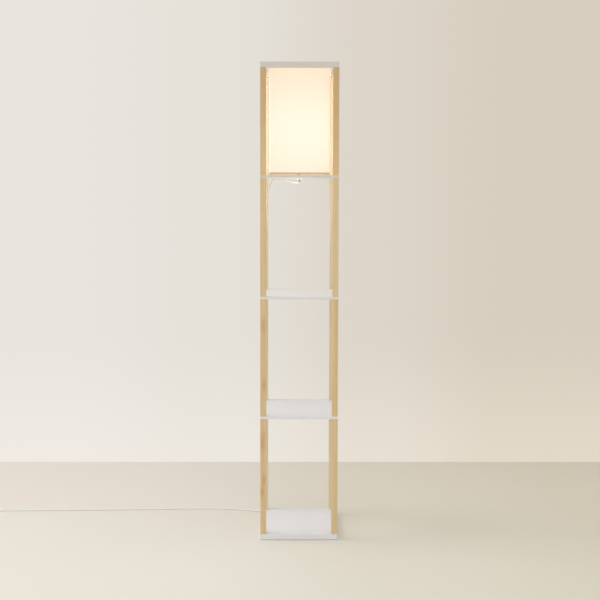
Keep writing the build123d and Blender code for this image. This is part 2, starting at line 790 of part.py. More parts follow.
# The put-away length: half turns inwards on the first layer, one that climbs, half turns outwards above.
# Each half turn is smaller than the last by half the pitch, and starts where the last one ends.
second_layer = first_layer + coil_layer_step
inward = [coil_outer_radius - step * coil_pitch / 2 for step in range(coil_half_turns)]
climbing = inward[-1] - coil_pitch / 2
turn_y = coil_y
heading = 1                                          # 1 to the back on the left, -1 to the front on the right
with BuildPart() as cord_coil:
    with BuildLine() as turns:
        Line((coil_x + cord_diameter, turn_y, first_layer), (coil_x, turn_y, first_layer))
        for radius in inward:
            side = (coil_x - heading * radius, turn_y + heading * radius, first_layer)
            far = turn_y + 2 * heading * radius
            ThreePointArc((coil_x, turn_y, first_layer), side, (coil_x, far, first_layer))
            turn_y = far
            heading = -heading
        rise = coil_layer_step / 2
        reach = math.hypot(climbing, rise)
        crest = (coil_x - heading * reach, turn_y + heading * climbing, first_layer + rise)
        far = turn_y + 2 * heading * climbing
        TangentArc((coil_x, turn_y, first_layer), crest, tangent=(-heading, 0, 0))
        TangentArc(crest, (coil_x, far, second_layer), tangent=(0, heading * climbing, rise))
        turn_y = far
        heading = -heading
        for radius in reversed(inward):
            side = (coil_x - heading * radius, turn_y + heading * radius, second_layer)
            far = turn_y + 2 * heading * radius
            ThreePointArc((coil_x, turn_y, second_layer), side, (coil_x, far, second_layer))
            turn_y = far
            heading = -heading
        Line((coil_x, turn_y, second_layer), (coil_x + coil_tail, turn_y, second_layer))
    with BuildSketch(Plane(origin=turns.line @ 0, z_dir=turns.line % 0)):
        shaft(cord_diameter, coil_sides)
    sweep(path=turns.wires()[0])
save(cord_coil, "cord_coil")

coil_wire = turns.wires()[0]
coil_samples = 1400
along = [tuple(coil_wire @ (step / coil_samples)) for step in range(coil_samples + 1)]
apart = int(3 * cord_diameter / (coil_wire.length / coil_samples))
least = min(math.dist(one, other) for i, one in enumerate(along) for other in along[i + apart:])
print(f"cord_coil: length {coil_wire.length:.1f}, least gap to itself {least - cord_diameter:.2f}")

# A strap round the strands on the coil's left.
strand_left = coil_x - coil_outer_radius - cord_radius - tie_ease
strand_right = coil_x - climbing + cord_radius + tie_ease
strand_height = coil_layer_step + cord_diameter + 2 * tie_ease
strap_plane = Plane(
    ((strand_left + strand_right) / 2, coil_y + coil_outer_radius, (first_layer + second_layer) / 2),
    x_dir=(1, 0, 0),
    z_dir=(0, -1, 0),
)
with BuildPart() as coil_tie:
    with BuildSketch(strap_plane) as strap:
        Rectangle(strand_right - strand_left + 2 * tie_thickness, strand_height + 2 * tie_thickness)
        chamfer(strap.vertices(), tie_corner)
        Rectangle(strand_right - strand_left, strand_height, mode=Mode.SUBTRACT)
    extrude(amount=tie_width / 2, both=True)
save(coil_tie, "coil_tie")

# ================================================================ plug
# It lies on the floor beside the coil, its cord at the height of the coil's upper layer.
relief_start = coil_x + coil_tail
plug_height = 2 * (second_layer - floor_ease)
plug_axis = Plane(origin=(relief_start, turn_y, second_layer), x_dir=(0, 1, 0), z_dir=(1, 0, 0))
relief_thin = cord_diameter + 2 * relief_wall
relief_thinning = (relief_root - relief_thin) / 2 * math.cos(math.pi / small_sides)
groove_step = relief_length / (relief_grooves + 1)
with BuildPart() as plug_body:
    with BuildSketch(plug_axis):
        shaft(relief_root, small_sides)
    extrude(amount=relief_length)
    thin_end = plug_body.faces().sort_by(Axis.X)[0]
    chamfer(thin_end.edges(), relief_thinning, relief_length - plug_edge, reference=thin_end)
    for number in range(1, relief_grooves + 1):
        share = number / (relief_grooves + 1)
        outside = relief_thin + share * (relief_root - relief_thin)
        with BuildSketch(plug_axis.offset(number * groove_step - groove_width / 2)):
            shaft(relief_root, small_sides)
            shaft(outside - 2 * groove_depth, small_sides, Mode.SUBTRACT)
        extrude(amount=groove_width, mode=Mode.SUBTRACT)
    with BuildSketch(plug_axis.offset(relief_length)) as outline:
        Rectangle(plug_width, plug_height)
        chamfer(outline.vertices(), plug_corner)
    extrude(amount=plug_length)
    chamfer(plug_body.faces().sort_by(Axis.X)[-1].edges(), plug_edge)
save(plug_body, "plug_body")

blade_root = relief_start + relief_length + plug_length
hole_plane = Plane(origin=(blade_root + blade_hole_place, turn_y, second_layer), z_dir=(0, 1, 0))
with BuildPart() as plug_blades:
    with BuildSketch(Plane(origin=(blade_root, turn_y, second_layer), x_dir=(0, 1, 0), z_dir=(1, 0, 0))):
        with GridLocations(blade_gap, 0, 2, 1):
            Rectangle(blade_thickness, blade_width)
    extrude(amount=blade_length)
    with BuildSketch(hole_plane):
        bore(blade_hole, small_sides)
    extrude(amount=blade_gap, both=True, mode=Mode.SUBTRACT)
save(plug_blades, "plug_blades")

# ================================================================ clips
clip_top = groove_radius + clip_wall
with BuildPart() as lead_clips:
    for seat in [*post_seats, shelf_seat]:
        with BuildSketch(seat) as arch:
            with Locations((0, lead_rise)):
                bore(2 * clip_top, clip_sides)
            with Locations((0, lead_rise / 2)):
                Rectangle(2 * clip_top, lead_rise)
            with Locations(((clip_top + clip_tab) / 2, clip_tab_height / 2)):
                Rectangle(clip_top + clip_tab, clip_tab_height)
            with Locations((0, lead_rise)):
                bore(2 * groove_radius, clip_sides, Mode.SUBTRACT)
            with Locations((0, lead_rise / 2)):
                Rectangle(2 * groove_radius, lead_rise, mode=Mode.SUBTRACT)
            with Locations((0, -clip_top)):
                Rectangle(4 * clip_top, 2 * clip_top, mode=Mode.SUBTRACT)
        extrude(amount=clip_length / 2, both=True)
        with BuildSketch(nail_plane(seat, 0)):
            bore(nail_diameter + 2 * thread_ease, wire_sides)
        extrude(amount=clip_tab_height, mode=Mode.SUBTRACT)
save(lead_clips, "lead_clips")

with BuildPart() as clip_nails:
    for seat in [*post_seats, shelf_seat]:
        with BuildSketch(nail_plane(seat, clip_tab_height)):
            shaft(nail_head_diameter, clip_sides)
        extrude(amount=nail_head_height)
        with BuildSketch(nail_plane(seat, clip_tab_height)):
            shaft(nail_diameter, wire_sides)
        extrude(amount=-clip_tab_height - nail_in_wood)
save(clip_nails, "clip_nails")
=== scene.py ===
import json
import math

import bpy
from mathutils import Matrix, Vector


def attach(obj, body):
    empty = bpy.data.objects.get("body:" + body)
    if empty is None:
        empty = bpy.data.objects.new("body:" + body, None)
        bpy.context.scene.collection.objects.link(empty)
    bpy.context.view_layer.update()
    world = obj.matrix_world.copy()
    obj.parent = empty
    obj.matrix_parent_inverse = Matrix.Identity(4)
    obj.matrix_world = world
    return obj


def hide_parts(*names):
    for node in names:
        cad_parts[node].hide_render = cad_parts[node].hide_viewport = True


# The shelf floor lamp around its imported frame. Metres, +Z up, -Y to the front.
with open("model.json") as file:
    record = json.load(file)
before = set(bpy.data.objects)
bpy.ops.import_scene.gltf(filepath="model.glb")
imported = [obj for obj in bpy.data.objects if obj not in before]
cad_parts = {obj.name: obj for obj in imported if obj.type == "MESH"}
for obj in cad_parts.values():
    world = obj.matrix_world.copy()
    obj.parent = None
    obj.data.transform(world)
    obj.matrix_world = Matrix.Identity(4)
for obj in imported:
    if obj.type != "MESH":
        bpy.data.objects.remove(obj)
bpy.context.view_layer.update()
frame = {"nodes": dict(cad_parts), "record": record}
nodes = frame["nodes"]

# ---- places and levels in the frame
BOARD_HALF = 0.13
POST_PLACE = 0.12            # a post's middle from the lamp's middle
POST_HALF = 0.01
LAMP_TOP = 1.6
LAMP_SHELF = 1.229           # its top face
SHELF_UNDERSIDE = 1.22
SHADE_FOOT, SHADE_HEAD = 1.233, 1.588
SHADE_HALF = 0.1015          # panel's outer face from the middle
SHADE_CORNER = 0.008


# ================================================================ camera
# Solved from the edges of the boards and posts in the photograph.
view = bpy.data.cameras.new("camera")
camera = bpy.data.objects.new("camera", view)
bpy.context.scene.collection.objects.link(camera)
camera.location = (-0.02055, -3.18635, 1.17663)
camera.rotation_euler = [math.radians(a) for a in (86.35115, -0.13261, -0.41305)]
view.lens = 55.4925
view.sensor_width = 36.0
view.shift_x = 0.0001
view.shift_y = -0.08319
bpy.context.scene.camera = camera


# ================================================================ finishes
def srgb(red, green, blue):
    """A colour written as 0 to 255, in the linear values that shaders take."""
    return (*[((v / 255 + 0.055) / 1.055) ** 2.4 for v in (red, green, blue)], 1.0)


class Finish:
    """A material's node tree, built node by node. Its texture space is the frame, in metres."""

    def __init__(self, name, **shader):
        self.material = bpy.data.materials.new(name)
        self.material.use_nodes = True
        self.tree = self.material.node_tree
        self.shader = self.tree.nodes["Principled BSDF"]
        self.place = self.node("ShaderNodeTexCoord").outputs["Object"]
        self.set(self.shader, {key.replace("_", " "): value for key, value in shader.items()})

    def set(self, node, inputs):
        """Links a socket to each input, or writes a plain value on it."""
        for key, value in inputs.items():
            if isinstance(value, bpy.types.NodeSocket):
                self.tree.links.new(value, node.inputs[key])
            else:
                node.inputs[key].default_value = value

    def node(self, kind, inputs=None, **settings):
        made = self.tree.nodes.new(kind)
        for key, value in settings.items():
            setattr(made, key, value)
        self.set(made, inputs or {})
        return made

    def math(self, operation, *values):
        inputs = dict(enumerate(values))
        return self.node("ShaderNodeMath", inputs, operation=operation).outputs[0]

    def off(self, value, place=0.0):
        """How far a value is from a place, either way."""
        return self.math("ABSOLUTE", self.math("SUBTRACT", value, place))

    def axes(self):
        """The frame's x, y and z at a point."""
        return self.node("ShaderNodeSeparateXYZ", {0: self.place}).outputs

    def noise(self, scale, stretch=(1, 1, 1), detail=2.0, shift=(0, 0, 0)):
        inputs = {0: self.place, 1: stretch, 2: shift}
        moved = self.node("ShaderNodeVectorMath", inputs, operation="MULTIPLY_ADD").outputs[0]
        inputs = {"Vector": moved, "Scale": scale, "Detail": detail}
        return self.node("ShaderNodeTexNoise", inputs).outputs["Fac"]

    def remap(self, value, low, high, to_low=0.0, to_high=1.0):
        inputs = {0: value, 1: low, 2: high, 3: to_low, 4: to_high}
        return self.node("ShaderNodeMapRange", inputs, interpolation_type="SMOOTHSTEP").outputs[0]

    def mix(self, factor, first, second):
        inputs = {0: factor, 6: first, 7: second}
        return self.node("ShaderNodeMix", inputs, data_type="RGBA").outputs[2]

    def colour(self, value):
        self.set(self.shader, {"Base Color": value})

    def rough(self, value):
        self.set(self.shader, {"Roughness": value})

    def bump(self, height, distance, strength):
        inputs = {"Height": height, "Distance": distance, "Strength": strength}
        self.set(self.shader, {"Normal": self.node("ShaderNodeBump", inputs).outputs[0]})


# ---- pine
PINE_LIGHT = srgb(237, 211, 163)
PINE_MIDDLE = srgb(226, 194, 144)
PINE_LATE = srgb(203, 159, 104)
PINE_KNOT = srgb(210, 145, 80)
PINE_RUB = srgb(240, 220, 180)
# a paler pine: painted light on the rear posts, and a paler tone on one front post
PINE_PALE = srgb(250, 234, 202)
PITH_AWAY = 0.055            # the tree's middle from the post's
SWAY = 0.016                 # how far the rings wander along a post
KNOT_PUSH = 0.006            # how far they give way to a knot
KNOT_LENGTH = 0.3            # height above a knot counts this much against width
TOP_PAINTED_SHADE = 0.5               # share of the late-wood tone at the lamp's top: painted shade, darker up the shade bay
PINE_EASE = 0.0012           # width of the rubbed edges


def pine(name, post, seed, knots=(), pale=0.0):
    """Clear-finished pine with its grain along a post, whose middle is at (x, y).

    A knot is (x, z, radius): a branch that runs from front to back.
    """
    wood = Finish(name, Specular_IOR_Level=0.35, Coat_Weight=0.12, Coat_Roughness=0.35)
    x, y, z = wood.axes()
    turn = 2.4 * seed
    pith = (post[0] + PITH_AWAY * math.cos(turn), post[1] + PITH_AWAY * math.sin(turn))
    sway = wood.noise(2.2, (0.6, 0.6, 1), 1.0, (seed, 2 * seed, 3 * seed))
    push = wood.math("MULTIPLY_ADD", sway, SWAY, -SWAY / 2)
    dark = 0.0
    for place, height, radius in knots:
        across = wood.math("SUBTRACT", x, place)
        along = wood.math("MULTIPLY", wood.math("SUBTRACT", z, height), KNOT_LENGTH)
        squares = [wood.math("POWER", value, 2.0) for value in (across, along)]
        apart = wood.math("SQRT", wood.math("ADD", *squares))
        heart = wood.remap(apart, 1.4 * radius, 0.2 * radius)
        halo = wood.remap(apart, 4.0 * radius, 0.4 * radius)
        push = wood.math("MULTIPLY_ADD", halo, KNOT_PUSH, push)
        stain = wood.math("MULTIPLY_ADD", halo, 0.5, wood.math("MULTIPLY", heart, 0.1))
        dark = wood.math("MAXIMUM", dark, stain)

    out_x = wood.math("ADD", wood.math("SUBTRACT", x, pith[0]), push)
    out_y = wood.math("SUBTRACT", y, pith[1])
    slow_z = wood.math("MULTIPLY", z, 0.012)
    rings = wood.node("ShaderNodeCombineXYZ", {0: out_x, 1: out_y, 2: slow_z}).outputs[0]
    wave = wood.node(
        "ShaderNodeTexWave",
        {"Vector": rings, "Scale": 95.0, "Distortion": 1.6, "Detail": 2.0, "Detail Scale": 3.0},
        wave_type="RINGS", rings_direction="Z", wave_profile="SAW",
    ).outputs["Fac"]
    late = wood.remap(wave, 0.55, 1.0)
    streaks = wood.noise(55.0, (1, 1, 0.035), 3.0, (5 * seed, 0, seed))
    fibres = wood.noise(900.0, (1, 1, 0.02), 2.0, (0, seed, 0))

    tone = wood.mix(wood.remap(streaks, 0.3, 0.7), PINE_LIGHT, PINE_MIDDLE)
    tone = wood.mix(wood.math("MULTIPLY", late, 0.55), tone, PINE_LATE)
    fibre_share = wood.math("MULTIPLY", wood.remap(fibres, 0.45, 0.75), 0.16)
    tone = wood.mix(fibre_share, tone, PINE_LATE)
    # painted shade: the posts darken towards the lamp's top
    tone = wood.mix(wood.remap(z, SHELF_UNDERSIDE, LAMP_TOP, 0.0, TOP_PAINTED_SHADE), tone, PINE_LATE)
    # paler where asked (painted light on the rear posts), and stained at the knots
    tone = wood.mix(pale, wood.mix(dark, tone, PINE_KNOT), PINE_PALE)
    from_middle = wood.math("MAXIMUM", wood.off(x, post[0]), wood.off(y, post[1]))
    at_edge = wood.remap(from_middle, POST_HALF - PINE_EASE, POST_HALF)
    rub = wood.math("MULTIPLY", at_edge, wood.noise(60.0, (1, 1, 0.3), 2.0))
    wood.colour(wood.mix(wood.math("MULTIPLY", rub, 0.35), tone, PINE_RUB))
    wood.rough(wood.remap(fibres, 0.2, 0.8, 0.38, 0.52))
    wood.bump(wood.math("ADD", wood.math("MULTIPLY", late, 0.6), fibres), 0.00012, 0.5)
    return wood.material


# ---- paint: a pair of tones each for the foot of the lamp and for the boards by the lamp, which carry painted lamp glow and shade
PAINT_LOW = (srgb(243, 243, 246), srgb(240, 240, 242))
PAINT_LAMP_GLOW_SHADE = (srgb(231, 226, 217), srgb(228, 222, 212))
PAINT_RUB = srgb(212, 204, 190)
PAINT_EASE = 0.0016          # width of the rubbed edges


def painted(name):
    """White paint over board: faint roller texture, rubbed at its edges, warmer and darker near the
    lamp as painted lamp glow and shade.
    """
    paint = Finish(name, Specular_IOR_Level=0.4)
    x, y, z = paint.axes()
    out = paint.math("MAXIMUM", paint.off(x), paint.off(y))
    cloud = paint.noise(9.0, detail=3.0)
    at_edge = paint.remap(out, BOARD_HALF - PAINT_EASE, BOARD_HALF)
    patches = paint.remap(paint.noise(45.0, detail=4.0), 0.45, 0.8)
    rub = paint.math("MULTIPLY", at_edge, patches)
    low, high = paint.mix(cloud, *PAINT_LOW), paint.mix(cloud, *PAINT_LAMP_GLOW_SHADE)
    # painted lamp glow and shade: warmer and darker from 0.6 m up to the lamp shelf and top
    tone = paint.mix(paint.remap(z, 0.6, 1.25), low, high)
    paint.colour(paint.mix(paint.math("MULTIPLY", rub, 0.15), tone, PAINT_RUB))
    paint.rough(paint.remap(paint.noise(30.0, detail=3.0), 0.3, 0.7, 0.36, 0.5))
    paint.bump(paint.noise(420.0), 0.00006, 0.6)
    return paint.material


def plastic(name, tone, shade, roughness=(0.34, 0.46)):
    """Moulded plastic: fine spark texture and slow cloudiness."""
    made = Finish(name, Specular_IOR_Level=0.45)
    made.colour(made.mix(made.remap(made.noise(60.0, detail=3.0), 0.3, 0.7), tone, shade))
    made.rough(made.remap(made.noise(150.0), 0.3, 0.7, *roughness))
    made.bump(made.noise(2800.0, detail=1.0), 0.00004, 0.4)
    return made.material


def metal(name, tone, shade, roughness=(0.2, 0.38), stretch=(1, 1, 1)):
    """Plated or bare metal with fine wipe marks and a dulled tint."""
    made = Finish(name, Metallic=1.0)
    dull = made.remap(made.noise(140.0, detail=4.0), 0.35, 0.75)
    marks = made.noise(900.0, stretch, 3.0)
    made.colour(made.mix(dull, tone, shade))
    wiped = made.remap(marks, 0.3, 0.7, *roughness)
    made.rough(made.math("ADD", wiped, made.math("MULTIPLY", dull, 0.08)))
    made.bump(marks, 0.00003, 0.5)
    return made.material


def cloth(name, tone, shade, thread, bump, lit=False):
    """Plain weave, worked out from the height and the way round the shade, with slubs in it."""
    made = Finish(name, Specular_IOR_Level=0.2, Sheen_Weight=0.08, Sheen_Roughness=0.5)
    x, y, z = made.axes()
    round_way = made.math("ADD", x, y)
    warp = made.math("SINE", made.math("MULTIPLY", round_way, math.pi / thread))
    weft = made.math("SINE", made.math("MULTIPLY", z, math.pi / thread))
    over = made.math("MULTIPLY", warp, weft)
    level = made.math("SUBTRACT", made.math("ABSOLUTE", warp), made.math("ABSOLUTE", weft))
    weave = made.math("MULTIPLY", made.math("SIGN", over), level)
    slubs = made.noise(260.0, (1, 1, 12.0), 3.0)
    uprights = made.noise(260.0, (9.0, 9.0, 0.6), 3.0)
    streaks = made.math("ADD", slubs, uprights)
    fleck = made.math("MULTIPLY_ADD", weave, 0.12, made.math("MULTIPLY", streaks, 0.5))
    made.colour(made.mix(made.remap(fleck, 0.35, 0.7), shade, tone))
    made.rough(0.85)
    made.bump(made.math("ADD", made.math("MULTIPLY", weave, 0.5), streaks), bump, 0.8)
    if lit:
        light_through(made, streaks)
    return made.material


GLOW_EDGE = (1.0, 0.80, 0.66, 1.0)
GLOW_MIDDLE = (1.0, 0.90, 0.79, 1.0)
GLOW_CENTRE = 1.375          # height at which the shade is brightest
GLOW_REACH = (0.235, 0.02)   # from its edge tone to its brightest, from the middle
GLOW_BASE, GLOW_GAIN = 0.44, 0.08


def light_through(fabric, streaks):
    """The bulb behind a cloth: whitest level with the globe, warmer to the hems and corners."""
    x, y, z = fabric.axes()
    side = fabric.math("MINIMUM", fabric.off(x), fabric.off(y))
    rise = fabric.off(z, GLOW_CENTRE)
    side_part = fabric.math("MULTIPLY", fabric.math("POWER", side, 2.0), 0.5)
    far = fabric.math("SQRT", fabric.math("ADD", fabric.math("POWER", rise, 2.0), side_part))
    glow = fabric.remap(far, *GLOW_REACH)
    warm = fabric.mix(glow, GLOW_EDGE, GLOW_MIDDLE)
    mottle = fabric.remap(streaks, 0.6, 1.4, 0.94, 1.05)
    power = fabric.math("MULTIPLY_ADD", glow, GLOW_GAIN, GLOW_BASE)
    power = fabric.math("MULTIPLY", power, mottle)
    fabric.set(fabric.shader, {"Emission Color": warm, "Emission Strength": power})


def felt(name):
    made = Finish(name, Sheen_Weight=0.4, Specular_IOR_Level=0.1)
    hairs = made.noise(2500.0, (1, 1, 0.4), 4.0)
    made.colour(made.mix(hairs, srgb(92, 88, 84), srgb(140, 135, 128)))
    made.rough(0.95)
    made.bump(hairs, 0.0002, 0.8)
    return made.material


def frosted(name):
    """The bulb's diffuser, lit from inside and a little dimmer towards its foot."""
    made = Finish(name, Specular_IOR_Level=0.4, Emission_Color=srgb(255, 232, 190))
    z = made.axes()[2]
    speck = made.noise(1400.0)
    made.colour(made.mix(speck, srgb(250, 246, 236), srgb(242, 237, 225)))
    made.rough(made.remap(speck, 0.3, 0.7, 0.42, 0.55))
    made.set(made.shader, {"Emission Strength": made.remap(z, 1.32, 1.355, 0.5, 1.1)})
    made.bump(speck, 0.00003, 0.4)
    return made.material


SHADE_THREAD, HEM_THREAD = 0.0007, 0.0005
finishes = {
    "white_paint": painted("white_paint"),
    "pad_felt": felt("pad_felt"),
    "shade_fabric": cloth(
        "shade_fabric", srgb(240, 230, 208), srgb(226, 214, 190), SHADE_THREAD, 0.00015, lit=True,
    ),
    "hem_fabric": cloth(
        "hem_fabric", srgb(243, 235, 219), srgb(231, 221, 201), HEM_THREAD, 0.0001,
    ),
    "bulb_diffuser": frosted("bulb_diffuser"),
}
for slot, *look in (
    ("wire_steel", srgb(238, 236, 231), srgb(226, 223, 216), (0.3, 0.42)),
    ("holder_plastic", srgb(236, 234, 228), srgb(226, 223, 215)),
    ("nut_plastic", srgb(240, 238, 233), srgb(230, 227, 220)),
    ("bulb_plastic", srgb(236, 235, 230), srgb(226, 224, 218)),
    ("cord_white", srgb(247, 246, 242), srgb(241, 239, 234), (0.36, 0.5)),
    ("tie_plastic", srgb(228, 226, 220), srgb(214, 211, 204)),
    ("plug_plastic", srgb(236, 234, 229), srgb(226, 223, 216)),
    ("clip_plastic", srgb(240, 238, 234), srgb(230, 228, 222)),
):
    finishes[slot] = plastic(slot, *look)
for slot, *look in (
    ("zinc_steel", srgb(196, 198, 200), srgb(160, 162, 166)),
    ("brass", srgb(206, 168, 96), srgb(168, 130, 70)),
    ("chain_nickel", srgb(190, 188, 182), srgb(150, 146, 138), (0.14, 0.26)),
    ("bell_metal", srgb(186, 179, 166), srgb(160, 152, 138), (0.32, 0.45)),
    ("bulb_contact", srgb(180, 181, 182), srgb(140, 140, 142)),
    ("bulb_cap_metal", srgb(206, 206, 204), srgb(170, 170, 170)),
    ("blade_brass", srgb(198, 194, 180), srgb(166, 160, 144), (0.18, 0.3), (0.1, 1, 1)),
):
    finishes[slot] = metal(slot, *look)


def dress(name, material):
    """Gives a CAD node a finish in every slot it has."""
    for material_slot in nodes[name].material_slots:
        material_slot.material = material


# Knots that show on the left posts, by post and bay: (x, z, radius).
post_knots = {
    ("front", "left", "lower"): (
        (-0.1205, 0.335, 0.0046), (-0.1165, 0.208, 0.0028), (-0.1245, 0.165, 0.0026),
    ),
    ("front", "left", "middle"): ((-0.1205, 0.731, 0.0036), (-0.1185, 0.529, 0.003)),
    ("rear", "left", "upper"): ((-0.118, 1.02, 0.003),),
}
REAR_PAINTED_LIGHT = 0.5              # share of the pale tone on the rear posts: painted light where the shelves and front posts shade them
post_pale = {("front", "right", "upper"): 0.25}    # and on one of the front ones
seed = 1
for depth, y_side in (("front", -1), ("rear", 1)):
    for side, x_side in (("left", -1), ("right", 1)):
        for bay in ("lower", "middle", "upper", "shade"):
            key = (depth, side, bay)
            place = (x_side * POST_PLACE, y_side * POST_PLACE)
            pale = REAR_PAINTED_LIGHT if depth == "rear" else post_pale.get(key, 0.0)
            wood = pine(f"pine_{depth}_{side}_{bay}", place, seed, post_knots.get(key, ()), pale)
            dress(f"{depth}_{side}_post_{bay}", wood)
            seed += 1

for part in frame["record"]["subparts"]:
    if part["material_slot"] in finishes:
        dress(part["node"], finishes[part["material_slot"]])


# ================================================================ building pieces
class Mesh:
    """Vertices and faces gathered from several forms, and made into one mesh."""

    def __init__(self):
        self.points = []
        self.faces = []

    def grid(self, rows, closed_along=False, flip=False, caps=False):
        """Joins closed rings of points, each as long as the others."""
        base, count = len(self.points), len(rows[0])
        for row in rows:
            self.points += [tuple(point) for point in row]
        for r in range(len(rows) if closed_along else len(rows) - 1):
            one, other = base + r * count, base + (r + 1) % len(rows) * count
            for c in range(count):
                d = (c + 1) % count
                face = (one + c, one + d, other + d, other + c)
                self.faces.append(face[::-1] if flip else face)
        if caps:
            foot = tuple(range(base, base + count))
            head = tuple(range(base + (len(rows) - 1) * count, base + len(rows) * count))
            self.faces += [foot, head[::-1]] if flip else [foot[::-1], head]

    def turned(self, rings, sides=64, centre=(0, 0), caps=True, ripple=None):
        """Rings of (height, radius) about an upright axis, from the lowest up.

        Without caps they go round a closed section.
        """
        rows = []
        for height, radius in rings:
            row = []
            for step in range(sides):
                angle = 2 * math.pi * step / sides
                out = radius + (ripple(angle, height) if ripple else 0.0)
                x = centre[0] + out * math.cos(angle)
                y = centre[1] + out * math.sin(angle)
                row.append((x, y, height))
            rows.append(row)
        self.grid(rows, caps=caps, closed_along=not caps)

    def tube(self, line, radius, sides=16, closed=False):
        """A round wire along a line of points."""
        line = [Vector(point) for point in line]
        count = len(line)
        across = None
        rows = []
        for i, point in enumerate(line):
            before = line[i - 1] if i or closed else point
            after = line[(i + 1) % count] if i < count - 1 or closed else point
            along = (after - before).normalized()
            if across is None:
                across = along.orthogonal().normalized()
            across = (across - along * across.dot(along)).normalized()
            other = along.cross(across)
            row = []
            for step in range(sides):
                angle = 2 * math.pi * step / sides
                row.append(point + radius * (math.cos(angle) * across + math.sin(angle) * other))
            rows.append(row)
        self.grid(rows, closed_along=closed, caps=not closed)

    def data(self, name, sharp):
        mesh = bpy.data.meshes.new(name)
        mesh.from_pydata(self.points, [], self.faces)
        mesh.shade_smooth()
        mesh.set_sharp_from_angle(angle=math.radians(sharp))
        mesh.update()
        return mesh


def show(name, form, slot, body="lamp", sharp=35.0):
    """A new piece from its mesh or curve, with its finish, on its body."""
    data = form.data(name, sharp) if isinstance(form, Mesh) else form
    piece = bpy.data.objects.new(name, data)
    bpy.context.scene.collection.objects.link(piece)
    data.materials.append(finishes[slot])
    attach(piece, body)
    return piece


def above(level, outline):
    """An outline of (height, radius) whose heights were given from a level."""
    return [(level + height, radius) for height, radius in outline]


def eased(points, reach, steps, most=0.45):
    """A line with a short curve at each corner, which takes at most a share of a side."""
    made = [Vector(points[0])]
    for before, at, after in zip(points, points[1:], points[2:]):
        at = Vector(at)
        ends = []
        for neighbour in (before, after):
            side = Vector(neighbour) - at
            ends.append(at + side.normalized() * min(reach, most * side.length))
        start, end = ends
        for step in range(steps + 1):
            t = step / steps
            made.append((1 - t) ** 2 * start + 2 * t * (1 - t) * at + t ** 2 * end)
    return made + [Vector(points[-1])]


def square_way(half, corner, flat_steps, corner_steps):
    """Round a square with rounded corners, in plan: (place, outward direction) at each step."""
    straight = half - corner
    quarter_way = []
    for step in range(flat_steps):
        along = -straight + 2 * straight * step / flat_steps
        quarter_way.append((Vector((half, along)), Vector((1, 0))))
    for step in range(corner_steps):
        angle = math.pi / 2 * step / corner_steps
        out = Vector((math.cos(angle), math.sin(angle)))
        quarter_way.append((Vector((straight, straight)) + corner * out, out))
    way = []
    for quarter in range(4):
        turn = Matrix.Rotation(quarter * math.pi / 2, 2)
        way += [(turn @ spot, turn @ out) for spot, out in quarter_way]
    return way


# ================================================================ cords
CORD_RADIUS = 0.0025


def cord_line(name, points):
    """A round cord on one smooth line."""
    line = bpy.data.curves.new(name, "CURVE")
    line.dimensions = "3D"
    line.bevel_depth = CORD_RADIUS
    line.bevel_resolution = 5
    line.use_fill_caps = True
    line.resolution_u = 10
    spline = line.splines.new("NURBS")
    spline.points.add(len(points) - 1)
    for control, point in zip(spline.points, points):
        control.co = (*point, 1.0)
    spline.order_u = 3
    spline.use_endpoint_u = True
    return show(name, line, "cord_white")


# The lead: out of the nipple, under the shelf through its clip, and down behind the rear left post.
LEAD_FOOT = (-0.12, 0.1329, 0.053)
lead_line = [
    (0, 0, 1.236),
    (0, 0, 1.214),
    (0, 0, 1.2035),
    (-0.025, 0.024, 1.208),
    (-0.048, 0.052, 1.2145),
    (-0.07460, 0.08034, 1.2171),
    (-0.08140, 0.08766, 1.2171),
    (-0.091, 0.104, 1.2141),
    (-0.0995, 0.124, 1.2081),
    (-0.105, 0.140, 1.1931),
    (-0.112, 0.141, 1.1731),
    (-0.118, 0.136, 1.1511),
    (-0.12, 0.1333, 1.1291),
    (-0.12, 0.1329, 1.1091),
    (-0.12, 0.1329, 1.089),
    LEAD_FOOT,
]
lead = cord_line("mains_lead", lead_line)
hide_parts("lead")

# The free cord: down from the last clip, along the floor past the picture's edge, into its coil.
FLOOR = 0.0026
COIL_X, COIL_Y = -1.210, 0.153
COIL_RADIUS = 0.0315         # of its outer turns
COIL_PITCH = 0.0057
LAYERS = (0.0034, 0.0034 + COIL_PITCH)
free_line = [
    LEAD_FOOT,
    (-0.12, 0.1329, 0.032),
    (-0.129, 0.1379, 0.013),
    (-0.145, 0.1459, FLOOR),
    (-0.182, 0.1599, FLOOR),
    (-0.250, 0.170, FLOOR),
    (-0.322, 0.1745, FLOOR),
    (-0.395, 0.1748, FLOOR),
    (-0.468, 0.1722, FLOOR),
    (-0.540, 0.1684, FLOOR),
    (-0.613, 0.1659, FLOOR),
    (-0.686, 0.1646, FLOOR),
    (-0.759, 0.1624, FLOOR),
    (-0.831, 0.1593, FLOOR),
    (-0.903, 0.1572, FLOOR),
    (-0.976, 0.1564, FLOOR),
    (-1.048, 0.1547, FLOOR),
    (COIL_X + 0.105, 0.1534, FLOOR + 0.0003),
    (COIL_X + 0.055, COIL_Y, LAYERS[0]),
    (COIL_X + 0.005, COIL_Y, LAYERS[0]),
]

